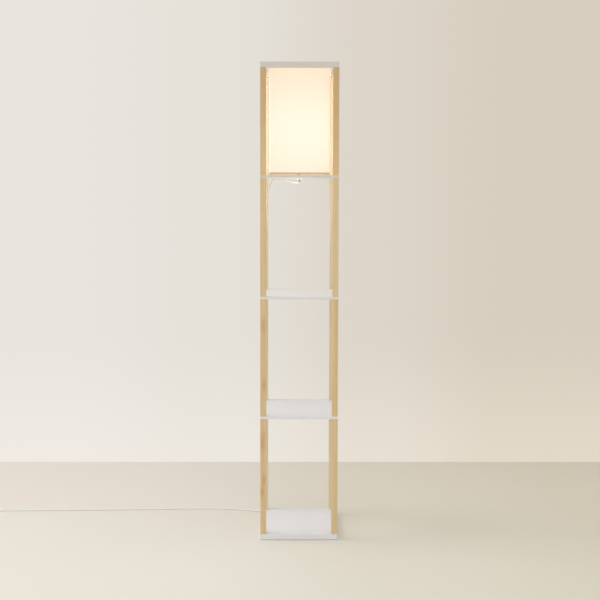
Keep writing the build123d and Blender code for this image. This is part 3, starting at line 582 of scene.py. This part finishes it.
# The coil: half turns inwards, one that climbs, half turns outwards on the second layer.
TURN_POINTS = 8
half_turns = (
    (COIL_RADIUS, 0, 0),
    (COIL_RADIUS - COIL_PITCH / 2, 0, 0),
    (COIL_RADIUS - COIL_PITCH, 0, 1),
    (COIL_RADIUS - COIL_PITCH / 2, 1, 1),
    (COIL_RADIUS, 1, 1),
)
turn_start, heading = COIL_Y, 1
for radius, low, high in half_turns:
    middle = turn_start + heading * radius
    reach = radius / math.cos(math.pi / TURN_POINTS / 2)
    for step in range(TURN_POINTS):
        share = (step + 0.5) / TURN_POINTS
        out = heading * reach * math.sin(math.pi * share)
        along = heading * reach * math.cos(math.pi * share)
        height = LAYERS[low] + share * (LAYERS[high] - LAYERS[low])
        free_line.append((COIL_X - out, middle - along, height))
    turn_start = middle + heading * radius
    heading = -heading
PLUG_Y, PLUG_Z = turn_start, LAYERS[1]
RELIEF_X = COIL_X + 0.014
free_line.append((RELIEF_X + 0.001, PLUG_Y, PLUG_Z))
free_cord = cord_line("free_cord", free_line)
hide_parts("floor_cord", "cord_coil")


# ================================================================ shade
THREAD_GAP = 0.0001          # between the panel, the wire and the hem
PANEL = 0.0008               # thickness
EDGE = 0.0005                # panel's edges inside the hems' folds
PANEL_ROWS = 60
BOW_HALF = 0.0945            # half width of the part of a side that bows
DRAWN_IN = 0.0007            # middle of a side, in from the wires
SLACK = 0.00025              # waves on top of that


def bow(spot, height):
    """How far the panel stands in from its box: drawn in between the wires, with slack waves."""
    share = (height - SHADE_FOOT) / (SHADE_HEAD - SHADE_FOOT)
    flat = max(0.0, 1 - (min(abs(spot.x), abs(spot.y)) / BOW_HALF) ** 2)
    waves = math.sin(31 * spot.x + 17 * spot.y + 11 * height) * math.sin(23 * height + 2)
    return math.sin(math.pi * share) * flat * (DRAWN_IN + SLACK * waves)


shade_mesh = Mesh()
shade_way = square_way(SHADE_HALF, SHADE_CORNER, 24, 8)
panel_height = SHADE_HEAD - SHADE_FOOT - 2 * EDGE
for inset in (0.0, PANEL):
    rows = []
    for row in range(PANEL_ROWS + 1):
        height = SHADE_FOOT + EDGE + panel_height * row / PANEL_ROWS
        ring = []
        for spot, out in shade_way:
            place = spot - out * (inset + bow(spot, height))
            ring.append((place.x, place.y, height))
        rows.append(ring)
    shade_mesh.grid(rows, flip=inset > 0)
around = len(shade_way)
inner = around * (PANEL_ROWS + 1)
for row in (0, PANEL_ROWS):
    for c in range(around):
        one, other = row * around + c, row * around + (c + 1) % around
        face = (one, inner + one, inner + other, other)
        shade_mesh.faces.append(face if row == 0 else face[::-1])
shade = show("shade_fabric_panel", shade_mesh, "shade_fabric")
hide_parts("shade_panel")

# The overlap where the panel closes on itself, at the left of its back, between the hems.
SEAM_LEFT, SEAM_RIGHT = -0.088, -0.076
SEAM_SPOT = Vector((-0.08, SHADE_HALF))
SEAM_ROWS = 40
SEAM_EDGE = 0.0002           # depth and width of its sloped edges
SEAM_PROUD = 0.0005
SEAM_END = 0.0065            # from the hems' folds

seam_mesh = Mesh()
rows = []
for row in range(SEAM_ROWS + 1):
    height = SHADE_FOOT + SEAM_END + (SHADE_HEAD - SHADE_FOOT - 2 * SEAM_END) * row / SEAM_ROWS
    panel_y = SHADE_HALF - bow(SEAM_SPOT, height)
    rows.append([
        (SEAM_LEFT, panel_y - SEAM_EDGE, height),
        (SEAM_LEFT + SEAM_EDGE, panel_y + SEAM_PROUD, height),
        (SEAM_RIGHT - SEAM_EDGE, panel_y + SEAM_PROUD, height),
        (SEAM_RIGHT, panel_y - SEAM_EDGE, height),
    ])
seam_mesh.grid(rows, caps=True)
seam = show("shade_seam", seam_mesh, "shade_fabric")

HEM_HEIGHT = 0.006
HEM_TAPE = 0.0004            # thickness
HEM_ROOM = 0.0035            # behind the panel, for the wire
HEM_RIPPLE = 0.00006


def make_hem(name, node, fold, direction):
    """A tape folded over the panel's edge and the wire, up or down from its fold."""
    outer, inner = THREAD_GAP, -(PANEL + HEM_ROOM)
    outline = [              # (out of the panel's face, height from the fold), round its section
        (outer, HEM_HEIGHT),
        (outer, 0.0009),
        (-0.0004, HEM_TAPE),
        (inner + 0.0006, HEM_TAPE),
        (inner, 0.001),
        (inner, HEM_HEIGHT),
        (inner - HEM_TAPE, HEM_HEIGHT),
        (inner - HEM_TAPE, 0.0008),
        (inner + 0.0002, 0.0),
        (-0.0002, 0.0),
        (outer + HEM_TAPE, 0.0007),
        (outer + HEM_TAPE, HEM_HEIGHT),
    ]
    rows = []
    for number, (spot, out) in enumerate(square_way(SHADE_HALF, SHADE_CORNER, 40, 10)):
        ripple = HEM_RIPPLE * math.sin(1.7 * number)
        ring = []
        for offset, height in outline:
            place = spot + out * (offset + (ripple if height > HEM_HEIGHT / 2 else 0.0))
            ring.append((place.x, place.y, fold + direction * height))
        rows.append(ring)
    mesh = Mesh()
    mesh.grid(rows, closed_along=True, flip=direction > 0)
    piece = show(name, mesh, "hem_fabric", sharp=50.0)
    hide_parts(node)
    return piece


lower_hem = make_hem("lower_hem_tape", "shade_lower_hem", SHADE_FOOT, 1)
upper_hem = make_hem("upper_hem_tape", "shade_upper_hem", SHADE_HEAD, -1)


# ---- wire frames
WIRE = 0.0015                # radius
WIRE_INSET = PANEL + THREAD_GAP + WIRE
WIRE_HALF = SHADE_HALF - WIRE_INSET
WIRE_LOW = SHADE_FOOT + EDGE + WIRE
WIRE_HIGH = SHADE_HEAD - EDGE - WIRE
ARM_RUN = 0.009              # level stretch of an arm beside the wire square
ARM_SLOPE = 0.014            # plan length of its rise to the fitter ring
ARM_BEND = 0.0045
FITTER_RADIUS, FITTER_BORE = 0.028, 0.0196
FITTER_HALF = 0.0008         # half its thickness
FITTER_MIDDLE = LAMP_SHELF + 0.0279


def wire_square(height):
    """A mesh that holds a wire square at a height."""
    mesh = Mesh()
    way = square_way(WIRE_HALF, SHADE_CORNER - WIRE_INSET, 12, 8)
    mesh.tube([(spot.x, spot.y, height) for spot, out in way], WIRE, closed=True)
    return mesh


upper_frame = show("upper_wire_square", wire_square(WIRE_HIGH), "wire_steel")
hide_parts("shade_upper_frame")

lower_wire = wire_square(WIRE_LOW)
arm = (
    (WIRE_HALF, WIRE_LOW),
    (WIRE_HALF - ARM_RUN, WIRE_LOW),
    (WIRE_HALF - ARM_RUN - ARM_SLOPE, FITTER_MIDDLE),
    (FITTER_RADIUS - WIRE, FITTER_MIDDLE),
)
for cos, sin in ((1, 0), (0, 1), (-1, 0), (0, -1)):
    line = [(out * cos, out * sin, height) for out, height in arm]
    lower_wire.tube(eased(line, ARM_BEND, 8, most=0.5), WIRE)
fitter_section = above(FITTER_MIDDLE, [
    (-FITTER_HALF, FITTER_BORE),
    (-FITTER_HALF, FITTER_RADIUS),
    (FITTER_HALF, FITTER_RADIUS),
    (FITTER_HALF, FITTER_BORE),
    (-FITTER_HALF, FITTER_BORE),
])
lower_wire.turned(eased(fitter_section, 0.0005, 3)[:-1], caps=False)
lower_frame = show("lower_wire_frame", lower_wire, "wire_steel")
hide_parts("shade_lower_frame")


# ================================================================ lamp holder
HOUSING, BARREL = 0.022, 0.019    # radii
SOCKET, WELL = 0.0142, 0.0072
EASE = 0.0005                     # rounded edges of the turned pieces

holder = Mesh()
holder_line = above(LAMP_SHELF, [
    (0.0, 0.0053), (0.0, HOUSING - 0.0002), (0.0015, HOUSING),
    (0.0176, HOUSING), (0.0180, HOUSING - 0.0004), (0.0188, HOUSING - 0.0004), (0.0192, HOUSING),
    (0.027, HOUSING), (0.027, BARREL), (0.055, BARREL), (0.055, SOCKET),
    (0.030, SOCKET), (0.030, WELL), (0.026, WELL), (0.026, 0.0005),
])
holder.turned(eased(holder_line, EASE, 3), 72)

# The switch boss in front: a block and its eased front face.
BOSS_HALF = 0.007
BOSS_LOW, BOSS_HIGH = LAMP_SHELF + 0.011, LAMP_SHELF + 0.025
for inset, front, back in ((0.0, -0.0226, -BARREL), (0.0006, -0.023, -0.0226)):
    half, bottom, top = BOSS_HALF - inset, BOSS_LOW + inset, BOSS_HIGH - inset
    holder.grid([
        [(-half, y, bottom), (half, y, bottom), (half, y, top), (-half, y, top)]
        for y in (back, front)
    ], caps=True)
holder_piece = show("holder_shell", holder, "holder_plastic")
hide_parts("lamp_holder")


def ring_section(corners, ease):
    """A ring's four (height, radius) corners as a closed section with eased edges."""
    return eased(corners + corners[:2], ease, 3)[1:-1]


clamp = Mesh()
clamp_section = above(LAMP_SHELF, [
    (0.0288, 0.0192), (0.0288, 0.0252), (0.0368, 0.0252), (0.0368, 0.0192),
])
clamp.turned(ring_section(clamp_section, 0.0008), 112, caps=False)
clamp_piece = show("clamp_ring", clamp, "holder_plastic", sharp=50.0)
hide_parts("shade_clamp_ring")


def threaded(mesh, foot, head, radius, depth, pitch, sides=48, step=5):
    """A turned rod with a thread that winds up it."""
    count = round((head - foot) / pitch * step)
    rings = [(foot + (head - foot) * i / count, radius) for i in range(count + 1)]

    def winding(angle, height):
        return -depth * (0.5 + 0.5 * math.cos(angle - 2 * math.pi * height / pitch))

    mesh.turned(rings, sides, ripple=winding)


nipple = Mesh()
threaded(nipple, LAMP_SHELF - 0.017, LAMP_SHELF + 0.011, 0.005, 0.00045, 0.0014)
nipple_piece = show("threaded_nipple", nipple, "zinc_steel", sharp=60.0)
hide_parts("holder_nipple")


# ================================================================ pull chain
CHAIN = (0.0, -0.030)
BEAD, BEAD_PITCH, BEADS = 0.0016, 0.004, 6
LOWEST_BEAD = SHELF_UNDERSIDE + 0.002
BEAD_STEPS, BEAD_SPAN = 10, 72    # a bead shows from this many degrees below to above its middle

chain = Mesh()
chain_line = [(LOWEST_BEAD - 0.0035, 0.0005)]
for number in range(BEADS):
    middle = LOWEST_BEAD + BEAD_PITCH * number
    for step in range(BEAD_STEPS + 1):
        angle = math.radians(-BEAD_SPAN + 2 * BEAD_SPAN * step / BEAD_STEPS)
        chain_line.append((middle + BEAD * math.sin(angle), BEAD * math.cos(angle)))
chain.turned(chain_line, 24, CHAIN)
chain_piece = show("beads", chain, "chain_nickel", "pull_chain", sharp=60.0)
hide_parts("bead_chain")

bell = Mesh()
bell_line = above(SHELF_UNDERSIDE - 0.014, [
    (0.0045, 0.0004), (0.0042, 0.0012), (0.0, 0.0017), (0.0, 0.0025), (0.0006, 0.0025),
    (0.0033, 0.0022), (0.0070, 0.00195), (0.0095, 0.0018), (0.0114, 0.0017), (0.0124, 0.0015),
    (0.013, 0.0012), (0.013, 0.0005),
])
bell.turned(eased(bell_line, 0.0003, 3), 40, CHAIN)
bell_piece = show("bell_pull", bell, "bell_metal", "pull_chain")
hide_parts("chain_bell")

GROMMET_BORE, GROMMET, GROMMET_FLANGE = 0.0032, 0.005, 0.007
grommet = Mesh()
grommet_section = [
    (SHELF_UNDERSIDE, GROMMET_BORE), (SHELF_UNDERSIDE, GROMMET), (LAMP_SHELF, GROMMET),
    (LAMP_SHELF, GROMMET_FLANGE), (LAMP_SHELF + 0.001, GROMMET_FLANGE),
    (LAMP_SHELF + 0.001, GROMMET_BORE),
]
grommet.turned(ring_section(grommet_section, EASE), 40, CHAIN, caps=False)
grommet_piece = show("shelf_grommet", grommet, "nut_plastic")
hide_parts("chain_grommet")


# ================================================================ bulb
CAP_FOOT = LAMP_SHELF + 0.0335
CAP_HEAD = CAP_FOOT + 0.0226
CAP = 0.013                       # radius
CAP_LIP = 0.0005
BODY_HEIGHT = 0.04
BODY_STEPS, GLOBE_STEPS = 32, 32
BODY = 0.0285                     # radius where the globe starts
GLOBE = 0.03

cap = Mesh()
threaded(cap, CAP_FOOT + 0.0036, CAP_HEAD - CAP_LIP, CAP, 0.0009, 0.0036, 64, 8)
cap.turned(above(CAP_FOOT, [(0.0, 0.0052), (0.0007, 0.0085), (0.002, 0.0112), (0.0036, 0.0122)]))
cap.turned([(CAP_HEAD - CAP_LIP, CAP - 0.0002), (CAP_HEAD, CAP)])
cap_piece = show("screw_cap", cap, "bulb_cap_metal", sharp=60.0)
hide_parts("bulb_cap")

bulb_body = Mesh()
body_line = []
for step in range(BODY_STEPS + 1):
    share = step / BODY_STEPS
    groove = 0.0003 if step in (1, BODY_STEPS - 1) else 0.0
    radius = CAP + math.sin(share * math.pi / 2) * (BODY - CAP) - groove
    body_line.append((CAP_HEAD + BODY_HEIGHT * share, radius))
bulb_body.turned(body_line, 96)
body_piece = show("bulb_shell", bulb_body, "bulb_plastic", sharp=50.0)
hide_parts("bulb_body")

globe = Mesh()
foot_angle = math.acos(BODY / GLOBE)
globe_middle = CAP_HEAD + BODY_HEIGHT + GLOBE * math.sin(foot_angle)
globe_line = []
for step in range(GLOBE_STEPS + 1):
    angle = -foot_angle + (math.radians(88) + foot_angle) * step / GLOBE_STEPS
    rise = (GLOBE - 0.0001) * math.sin(angle)
    globe_line.append((globe_middle + rise, GLOBE * math.cos(angle)))
globe.turned(globe_line, 96)
globe_piece = show("globe_diffuser", globe, "bulb_diffuser")
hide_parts("bulb_globe")


# ================================================================ pads
PAD_PLACE = 0.1
pads = Mesh()
for x in (-PAD_PLACE, PAD_PLACE):
    for y in (-PAD_PLACE, PAD_PLACE):
        pad_line = [(0.0, 0.0106), (0.0002, 0.0109), (0.0008, 0.011), (0.001, 0.0109)]
        pads.turned(pad_line, 48, (x, y))
pads_piece = show("felt_pads", pads, "pad_felt")
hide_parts("foot_pads")


# ================================================================ plug
RELIEF = 0.022                    # length of the cord's strain relief
RELIEF_STEPS = 44
RELIEF_THIN, RELIEF_THICK = 0.0041, 0.0065
GROOVE_SPACES = 5                 # grooves at each fifth of the relief
GROOVE_DEPTH = 0.0008


def plug_section(at, half_wide, half_high, corner, steps=8):
    """One rounded outline across the plug, at its x."""
    ring = []
    for y_side, z_side, start in ((1, 1, 0), (-1, 1, 90), (-1, -1, 180), (1, -1, 270)):
        for step in range(steps + 1):
            angle = math.radians(start + 90 * step / steps)
            y = PLUG_Y + y_side * (half_wide - corner) + corner * math.cos(angle)
            z = PLUG_Z + z_side * (half_high - corner) + corner * math.sin(angle)
            ring.append((at, y, z))
    return ring


plug = Mesh()
rows = []
for step in range(RELIEF_STEPS + 1):
    share = step / RELIEF_STEPS
    outside = RELIEF_THIN + (RELIEF_THICK - RELIEF_THIN) * share
    if 0.12 < share < 0.88:
        off_groove = abs(share * GROOVE_SPACES - round(share * GROOVE_SPACES))
        outside -= GROOVE_DEPTH * max(0.0, 1 - off_groove / 0.2)
    if step == 0:
        outside -= 0.0006
    rows.append(plug_section(RELIEF_X + RELIEF * share, outside, outside, outside - 0.00001))
for along, wide, high, corner in (
    (0.0002, 0.0075, 0.0068, 0.0062),
    (0.0016, 0.0098, 0.0078, 0.0058),
    (0.0045, 0.0114, 0.0086, 0.005),
    (0.009, 0.0119, 0.0089, 0.0045),
    (0.016, 0.0119, 0.0089, 0.0042),
    (0.0235, 0.012, 0.009, 0.004),
    (0.0252, 0.0119, 0.0089, 0.004),
    (0.026, 0.0113, 0.0083, 0.0036),
):
    rows.append(plug_section(RELIEF_X + RELIEF + along, wide, high, corner))
plug.grid(rows, caps=True)
plug_piece = show("plug_moulding", plug, "plug_plastic", sharp=40.0)
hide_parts("plug_body")


# ================================================================ CAD pieces' edges
def ease_edges(name, width, segments=2):
    """Rounds a CAD node's sharp edges a little, inside its own outline."""
    bevel = nodes[name].modifiers.new("eased_edges", "BEVEL")
    bevel.width = width
    bevel.segments = segments
    bevel.limit_method = "ANGLE"
    bevel.angle_limit = math.radians(40)


for name in ("nipple_nut", "coil_tie", "plug_blades"):
    ease_edges(name, 0.0003)


# ================================================================ studio
WALL_Y = 0.773
REACH = 9.0                       # floor's and wall's half width


def plane(name, corners, material):
    """One stage quad with its finish."""
    mesh = bpy.data.meshes.new(name)
    mesh.from_pydata(corners, [], [(0, 1, 2, 3)])
    made = bpy.data.objects.new(name, mesh)
    bpy.context.scene.collection.objects.link(made)
    mesh.materials.append(material)
    return made


def stage_finish(name, tones, spots):
    """A matt colour that turns slowly from left to right, through tones at x spots."""
    made = Finish(name, Roughness=1.0, Specular_IOR_Level=0.0)
    x = made.axes()[0]
    tone = tones[0]
    for low, high, other in zip(spots, spots[1:], tones[1:]):
        tone = made.mix(made.remap(x, low, high), tone, other)
    made.colour(tone)
    return made, tone


# The floor's tones darken to the right and towards the wall: painted shade.
floor_tones = [srgb(239, 234, 223), srgb(239, 235, 224), srgb(236, 231, 216), srgb(232, 225, 207)]
floor_finish, floor_tone = stage_finish("floor", floor_tones, (-1.1, -0.3, 0.3, 1.1))
floor_back_shade = floor_finish.remap(floor_finish.axes()[1], -0.5, 0.75, 0.0, 0.4)
floor_finish.colour(floor_finish.mix(floor_back_shade, floor_tone, srgb(217, 208, 194)))

# The wall shows its tone to the camera and in gloss, with painted shade to the right and painted
# light near the floor; from behind it is clear.
wall_tones = [srgb(233, 228, 222), srgb(229, 225, 217), srgb(221, 213, 202), srgb(216, 206, 191)]
wall_finish, wall_tone = stage_finish("wall", wall_tones, (-1.0, -0.3, 0.3, 0.9))
wall_x, _, wall_z = wall_finish.axes()
lit_foot = wall_finish.remap(wall_x, -0.5, 0.6, 0.066, 0.122)
near_floor = wall_finish.remap(wall_z, 0.62, -0.05)
lift = wall_finish.math("MULTIPLY_ADD", near_floor, lit_foot, 1.0)
shown = wall_finish.node("ShaderNodeEmission", {0: wall_tone, 1: lift}).outputs[0]
path = wall_finish.node("ShaderNodeLightPath").outputs
seen = wall_finish.math("MAXIMUM", path["Is Camera Ray"], path["Is Glossy Ray"])
seen = wall_finish.math("MAXIMUM", seen, path["Is Transmission Ray"])
matt = wall_finish.shader.outputs[0]
front = wall_finish.node("ShaderNodeMixShader", {0: seen, 1: matt, 2: shown}).outputs[0]
behind = wall_finish.node("ShaderNodeNewGeometry").outputs["Backfacing"]
clear = wall_finish.node("ShaderNodeBsdfTransparent").outputs[0]
either = wall_finish.node("ShaderNodeMixShader", {0: behind, 1: front, 2: clear}).outputs[0]
wall_finish.set(wall_finish.tree.nodes["Material Output"], {"Surface": either})

floor_corners = [(-REACH, -REACH, 0), (REACH, -REACH, 0), (REACH, REACH, 0), (-REACH, REACH, 0)]
plane("floor", floor_corners, floor_finish.material)
wall_corners = [
    (-REACH, WALL_Y, 0), (REACH, WALL_Y, 0), (REACH, WALL_Y, REACH), (-REACH, WALL_Y, REACH),
]
wall = plane("wall", wall_corners, wall_finish.material)
wall.visible_shadow = False


# ---- lights
def area_light(name, place, facing, size, power, colour=(1, 1, 1)):
    """A lamp with a (wide, high) face that looks along a direction."""
    data = bpy.data.lights.new(name, "AREA")
    data.shape = "RECTANGLE"
    data.size, data.size_y = size
    data.energy = power
    data.color = colour
    made = bpy.data.objects.new(name, data)
    bpy.context.scene.collection.objects.link(made)
    made.location = place
    made.rotation_euler = Vector(facing).to_track_quat("-Z", "Y").to_euler()
    return made


NEUTRAL, COOL = (1, 1, 1), (0.97, 0.99, 1.05)
for name, place, aim, size, power, colour in (
    ("key", (-4.2, -0.9, 2.1), (0, 0, 0.7), 1.8, 13, NEUTRAL),
    ("top", (-0.5, -0.8, 8.0), (0, 0, 0), 5.5, 92, (0.95, 0.99, 1.08)),
    ("left", (-5.4, 0.2, 4.3), (0, 0, 0.2), 2.2, 93, COOL),
    ("right", (4.5, 0.3, 4.4), (0, 0, 0.4), 4.0, 26, COOL),
    ("back", (-1.8, 3.6, 4.8), (0, 0, 0.4), 5.5, 100, (0.95, 0.99, 1.07)),
    ("front", (-0.2, -5.2, 0.75), (0, 0, 0.4), 1.2, 16, NEUTRAL),
):
    area_light(name, place, Vector(aim) - Vector(place), (size, size), power, colour)

# The bulb's own light, through its diffuser.
glow_data = bpy.data.lights.new("bulb", "POINT")
glow_data.energy = 0.5
glow_data.shadow_soft_size = 0.026
glow_data.color = (1.0, 0.96, 0.94)
glow_light = bpy.data.objects.new("bulb", glow_data)
bpy.context.scene.collection.objects.link(glow_light)
glow_light.location = (0, 0, globe_middle)
globe_piece.visible_shadow = False

# What the shade's sides send to the posts beside them, and what comes back up under the shelf.
SPILL_X, SPILL_Y, SPILL_Z = 0.108, 0.088, 1.4155
SPILL_SIZE = (0.005, 0.365)
SPILL_COLOUR = (1.0, 0.80, 0.88)
hidden = []
for x_side in (-1, 1):
    for y_side, power in ((-1, 0.022), (1, 0.05)):
        place = (x_side * SPILL_X, y_side * SPILL_Y, SPILL_Z)
        facing = (x_side, y_side * 0.3, 0)
        hidden.append(area_light("spill", place, facing, SPILL_SIZE, power, SPILL_COLOUR))
hidden.append(area_light("under_shelf", (-0.03, -0.10, 1.09), (0, 0.10, 0.13), (0.10, 0.05), 0.17))
for light in hidden:
    light.visible_camera = False

world = bpy.data.worlds.new("studio")
bpy.context.scene.world = world
world.use_nodes = True
backdrop = world.node_tree.nodes["Background"]
backdrop.inputs["Color"].default_value = (0.86, 0.86, 0.86, 1)
backdrop.inputs["Strength"].default_value = 0.68

bpy.context.scene.view_settings.view_transform = "Standard"
